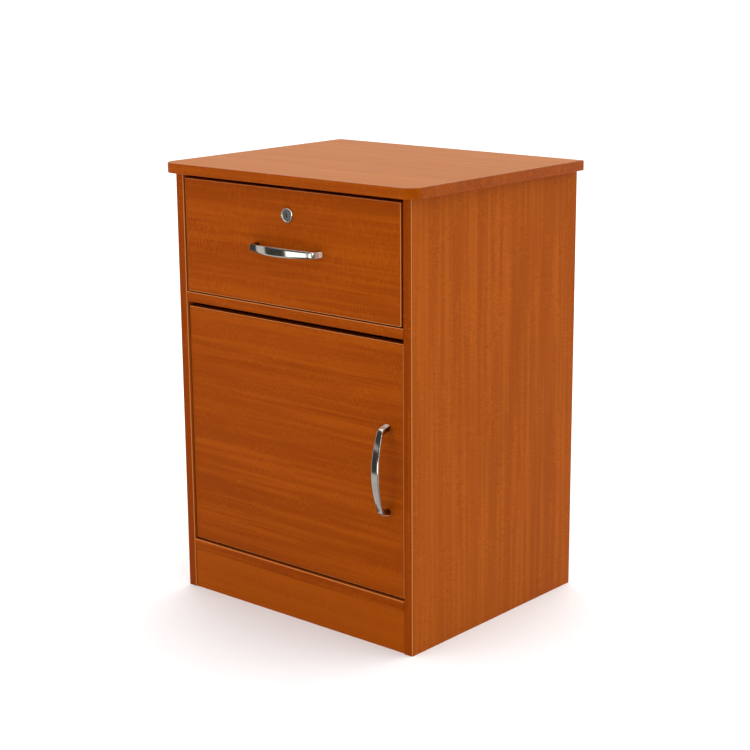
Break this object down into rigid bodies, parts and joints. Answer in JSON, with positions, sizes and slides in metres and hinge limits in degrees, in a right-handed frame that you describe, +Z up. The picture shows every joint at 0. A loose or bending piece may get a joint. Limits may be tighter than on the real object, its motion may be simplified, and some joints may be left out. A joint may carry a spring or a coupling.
{
  "type": "bedside cabinet",
  "caption": "Ward bedside cabinet: a lockable drawer on roller runners above a cupboard with a right-handled door on two concealed hinges, under an overhanging top with rounded front corners.",
  "frame": {"origin": "on the floor, at the centre of the overall bounding box seen from above", "axes": "+Z up, -Y out of the drawer and door towards the user, +X to the side of the door's handle"},
  "size_m": [0.51, 0.437, 0.702],
  "materials": {
    "laminate": "satin red-brown wood-grain laminate on board, grain along each board",
    "edge_band": "satin wood-grain edge band, slightly glossier than the boards",
    "hardboard": "matt brown hardboard",
    "drawer_box": "pale satin melamine-faced board",
    "chrome": "polished chrome plate",
    "zinc_steel": "bright zinc plate",
    "white_steel": "off-white epoxy powder coat",
    "nylon": "off-white moulded nylon"
  },
  "bodies": {
    "carcass": {"back_panel": "hardboard", "bottom_edge_band": "edge_band", "bottom_panel": "laminate", "divider_edge_band": "edge_band", "divider_panel": "laminate", "left_cabinet_runner": "white_steel", "left_edge_band": "edge_band", "left_side_panel": "laminate", "lock_strike": "zinc_steel", "lower_hinge_arm": "zinc_steel", "lower_mounting_plate": "zinc_steel", "lower_plate_lower_screw": "zinc_steel", "lower_plate_upper_screw": "zinc_steel", "plinth_board": "laminate", "rear_plinth_board": "laminate", "right_cabinet_runner": "white_steel", "right_edge_band": "edge_band", "right_side_panel": "laminate", "top_edge_band": "edge_band", "top_panel": "laminate", "upper_hinge_arm": "zinc_steel", "upper_mounting_plate": "zinc_steel", "upper_plate_lower_screw": "zinc_steel", "upper_plate_upper_screw": "zinc_steel"},
    "drawer": {"drawer_back": "drawer_box", "drawer_bottom": "hardboard", "drawer_front": "laminate", "drawer_front_edge_band": "edge_band", "drawer_handle": "chrome", "drawer_handle_left_screw": "zinc_steel", "drawer_handle_right_screw": "zinc_steel", "drawer_left_side": "drawer_box", "drawer_right_side": "drawer_box", "left_drawer_runner": "white_steel", "lock_body": "zinc_steel", "lock_collar": "chrome", "right_drawer_runner": "white_steel"},
    "door": {"door_handle": "chrome", "door_handle_lower_screw": "zinc_steel", "door_handle_upper_screw": "zinc_steel", "door_panel": "laminate", "door_panel_edge_band": "edge_band", "lower_cup_lower_screw": "zinc_steel", "lower_cup_upper_screw": "zinc_steel", "lower_hinge_cup": "zinc_steel", "upper_cup_lower_screw": "zinc_steel", "upper_cup_upper_screw": "zinc_steel", "upper_hinge_cup": "zinc_steel"},
    "lock_plug": {"lock_plug": "chrome"},
    "lock_bolt": {"lock_bolt": "zinc_steel"},
    "left_cabinet_roller": {"left_cabinet_roller": "nylon"},
    "left_drawer_roller": {"left_drawer_roller": "nylon"},
    "right_cabinet_roller": {"right_cabinet_roller": "nylon"},
    "right_drawer_roller": {"right_drawer_roller": "nylon"},
    "upper_hinge_link": {"upper_hinge_link": "zinc_steel"},
    "lower_hinge_link": {"lower_hinge_link": "zinc_steel"}
  },
  "joints": [
    {"name": "drawer_slide", "type": "slide", "parent": "carcass", "child": "drawer", "axis": [0, -1, 0], "range_m": [0, 0.265]},
    {"name": "left_cabinet_roller_spin", "type": "hinge", "parent": "carcass", "child": "left_cabinet_roller", "pos_m": [-0.218, -0.1585, 0.5183], "axis": [1, 0, 0], "range_deg": [0, 1408]},
    {"name": "left_drawer_roller_spin", "type": "hinge", "parent": "drawer", "child": "left_drawer_roller", "pos_m": [-0.217, 0.1658, 0.5183], "axis": [1, 0, 0], "range_deg": [0, 1748]},
    {"name": "right_cabinet_roller_spin", "type": "hinge", "parent": "carcass", "child": "right_cabinet_roller", "pos_m": [0.218, -0.1585, 0.5183], "axis": [1, 0, 0], "range_deg": [0, 1408]},
    {"name": "right_drawer_roller_spin", "type": "hinge", "parent": "drawer", "child": "right_drawer_roller", "pos_m": [0.217, 0.1658, 0.5183], "axis": [1, 0, 0], "range_deg": [0, 1748]},
    {"name": "lock_turn", "type": "hinge", "parent": "drawer", "child": "lock_plug", "pos_m": [0, -0.19018, 0.64], "axis": [0, 1, 0], "range_deg": [0, 180]},
    {"name": "lock_bolt_slide", "type": "slide", "parent": "drawer", "child": "lock_bolt", "axis": [0, 0, 1], "range_m": [0, 0.01]},
    {"name": "door_swing", "type": "hinge", "parent": "carcass", "child": "door", "pos_m": [-0.2115, -0.183, 0.28], "axis": [0, 0, -1], "range_deg": [0, 95]},
    {"name": "upper_hinge_link_turn", "type": "hinge", "parent": "carcass", "child": "upper_hinge_link", "pos_m": [-0.19544, -0.167, 0.384], "axis": [0, 0, 1], "range_deg": [0, 63]},
    {"name": "lower_hinge_link_turn", "type": "hinge", "parent": "carcass", "child": "lower_hinge_link", "pos_m": [-0.19544, -0.167, 0.176], "axis": [0, 0, 1], "range_deg": [0, 63]}
  ],
  "couplings": [
    {"joint": "left_cabinet_roller_spin", "follows": "drawer_slide", "rad_per_m": 92.593},
    {"joint": "left_drawer_roller_spin", "follows": "drawer_slide", "rad_per_m": 114.94},
    {"joint": "right_cabinet_roller_spin", "follows": "drawer_slide", "rad_per_m": 92.593},
    {"joint": "right_drawer_roller_spin", "follows": "drawer_slide", "rad_per_m": 114.94},
    {"joint": "lock_bolt_slide", "follows": "lock_turn", "m_per_rad": 0.003183},
    {"joint": "upper_hinge_link_turn", "follows": "door_swing", "ratio": 0.65915},
    {"joint": "lower_hinge_link_turn", "follows": "door_swing", "ratio": 0.65915}
  ]
}
